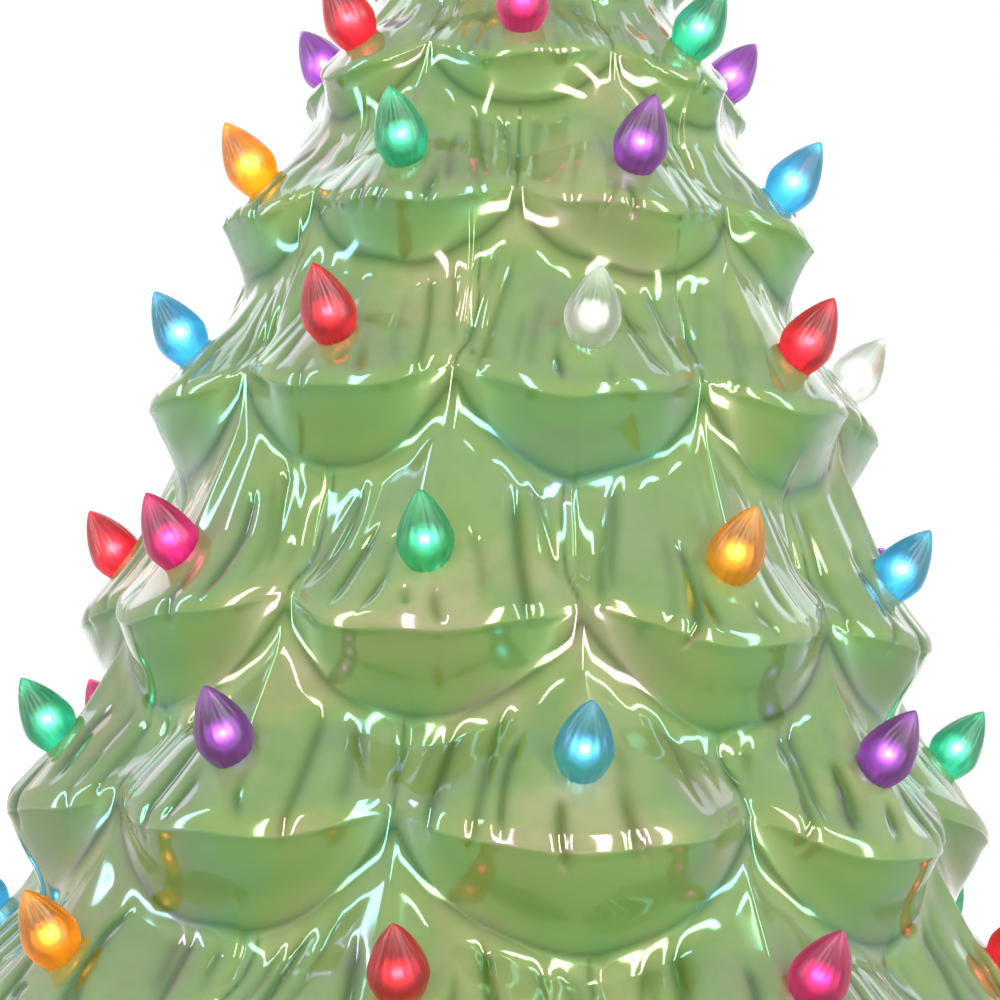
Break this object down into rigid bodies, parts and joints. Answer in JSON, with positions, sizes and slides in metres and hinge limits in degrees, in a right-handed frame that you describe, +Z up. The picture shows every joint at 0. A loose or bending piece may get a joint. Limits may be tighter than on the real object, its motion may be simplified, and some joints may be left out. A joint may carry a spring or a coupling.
{
  "type": "ceramic christmas tree",
  "caption": "Glazed ceramic Christmas tree with rings of rounded branches, plastic bulbs lit from inside, a star and a ceramic base with a battery lamp.",
  "frame": {"origin": "on the table, under the middle of the tree", "axes": "+Z up the tree, -Y to the front"},
  "size_m": [0.2878, 0.2898, 0.415],
  "materials": {
    "tree_glaze": "glossy pearl glaze over green",
    "base_glaze": "glossy pearl glaze over green",
    "star_plastic": "clear tinted plastic",
    "felt": "felt",
    "black_plastic": "fine grain",
    "white_plastic": "smooth",
    "cell_jacket": "satin",
    "bright_steel": "bright",
    "board": "satin",
    "led": "clear",
    "frosted": "frosted",
    "red_insulation": "satin",
    "black_insulation": "satin",
    "foot_rubber": "matt",
    "red_plastic": "clear tinted plastic, lit from inside",
    "pink_plastic": "clear tinted plastic, lit from inside",
    "green_plastic": "clear tinted plastic, lit from inside",
    "orange_plastic": "clear tinted plastic, lit from inside",
    "blue_plastic": "clear tinted plastic, lit from inside",
    "purple_plastic": "clear tinted plastic, lit from inside",
    "clear_plastic": "clear tinted plastic, lit from inside"
  },
  "bodies": {
    "base": {"ceramic_base": "base_glaze", "felt_ring": "felt", "bottom_plate": "black_plastic", "door_hinge_pin": "bright_steel", "left_cell": "cell_jacket", "middle_cell": "cell_jacket", "right_cell": "cell_jacket", "button_contacts": "bright_steel", "spring_contacts": "bright_steel", "switch_body": "black_plastic", "lamp_post": "white_plastic", "led_board": "board", "leds": "led", "light_diffuser": "frosted", "red_wire": "red_insulation", "black_wire": "black_insulation", "plate_screws": "bright_steel", "rubber_feet": "foot_rubber"},
    "tree": {"tree_shell": "tree_glaze", "red_bulbs": "red_plastic", "pink_bulbs": "pink_plastic", "green_bulbs": "green_plastic", "orange_bulbs": "orange_plastic", "blue_bulbs": "blue_plastic", "purple_bulbs": "purple_plastic", "clear_bulbs": "clear_plastic"},
    "star": {"star_topper": "star_plastic"},
    "door": {"battery_door": "black_plastic"},
    "slider": {"switch_slider": "white_plastic"}
  },
  "joints": [
    {"name": "tree_lift", "type": "slide", "parent": "base", "child": "tree", "axis": [0, 0, 1], "range_m": [0, 0.1]},
    {"name": "star_lift", "type": "slide", "parent": "tree", "child": "star", "axis": [0, 0, 1], "range_m": [0, 0.016]},
    {"name": "door_hinge", "type": "hinge", "parent": "base", "child": "door", "pos_m": [0, -0.0253, 0.0032], "axis": [-1, 0, 0], "range_deg": [0, 95]},
    {"name": "switch_slide", "type": "slide", "parent": "base", "child": "slider", "axis": [1, 0, 0], "range_m": [0, 0.006]}
  ]
}
